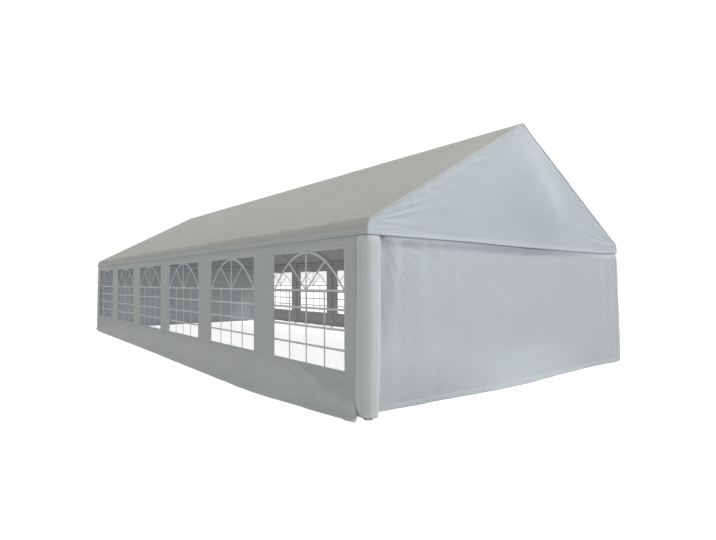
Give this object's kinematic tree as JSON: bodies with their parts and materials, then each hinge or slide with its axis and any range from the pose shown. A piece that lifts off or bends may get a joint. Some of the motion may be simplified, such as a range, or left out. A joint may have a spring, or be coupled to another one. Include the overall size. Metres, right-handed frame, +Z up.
{
  "type": "marquee tent",
  "caption": "Gabled marquee tent of coated fabric on a steel tube frame, with plain end walls and side walls with arched-bar clear windows.",
  "frame": {"origin": "on the ground under the middle of the tent", "axes": "+Y along the ridge towards the back gable, +Z up, +X to the right seen from the front gable"},
  "size_m": [6.66, 12.2, 3.6413],
  "materials": {
    "steel_tube": "zinc coated round steel tube, dull sheen",
    "roof_fabric": "coated woven sheet, satin, welded seams and a double hem",
    "gable_fabric": "coated woven sheet, satin, with fine creases and a hem band",
    "wall_fabric": "coated woven sheet, satin, seamed, with eyelets in the hem",
    "end_fabric": "coated woven sheet, satin, softly creased",
    "cover_fabric": "coated woven sheet, satin, folded round the corner",
    "window_film": "clear flexible film with welded bars"
  },
  "bodies": {
    "root": {"leg_left_1": "steel_tube", "leg_left_2": "steel_tube", "leg_left_3": "steel_tube", "leg_left_4": "steel_tube", "leg_left_5": "steel_tube", "leg_left_6": "steel_tube", "leg_left_7": "steel_tube", "leg_right_1": "steel_tube", "leg_right_2": "steel_tube", "leg_right_3": "steel_tube", "leg_right_4": "steel_tube", "leg_right_5": "steel_tube", "leg_right_6": "steel_tube", "leg_right_7": "steel_tube", "rafter_left_1": "steel_tube", "rafter_left_2": "steel_tube", "rafter_left_3": "steel_tube", "rafter_left_4": "steel_tube", "rafter_left_5": "steel_tube", "rafter_left_6": "steel_tube", "rafter_left_7": "steel_tube", "rafter_right_1": "steel_tube", "rafter_right_2": "steel_tube", "rafter_right_3": "steel_tube", "rafter_right_4": "steel_tube", "rafter_right_5": "steel_tube", "rafter_right_6": "steel_tube", "rafter_right_7": "steel_tube", "ridge_rail": "steel_tube", "eave_rail_left": "steel_tube", "eave_rail_right": "steel_tube", "purlin_left": "steel_tube", "purlin_right": "steel_tube", "end_tie_front": "steel_tube", "end_tie_back": "steel_tube", "roof_left": "roof_fabric", "roof_right": "roof_fabric", "gable_front": "gable_fabric", "gable_back": "gable_fabric", "side_wall_left_front": "wall_fabric", "side_wall_left_back": "wall_fabric", "side_wall_right_front": "wall_fabric", "side_wall_right_back": "wall_fabric", "wall_skirt_left_front": "wall_fabric", "wall_skirt_left_back": "wall_fabric", "wall_skirt_right_front": "wall_fabric", "wall_skirt_right_back": "wall_fabric", "window_film_left_front": "window_film", "window_film_left_back": "window_film", "window_film_right_front": "window_film", "window_film_right_back": "window_film", "end_wall_front": "end_fabric", "end_wall_back": "end_fabric", "corner_cover_front_left": "cover_fabric", "corner_cover_front_right": "cover_fabric", "corner_cover_back_left": "cover_fabric", "corner_cover_back_right": "cover_fabric"}
  },
  "joints": []
}
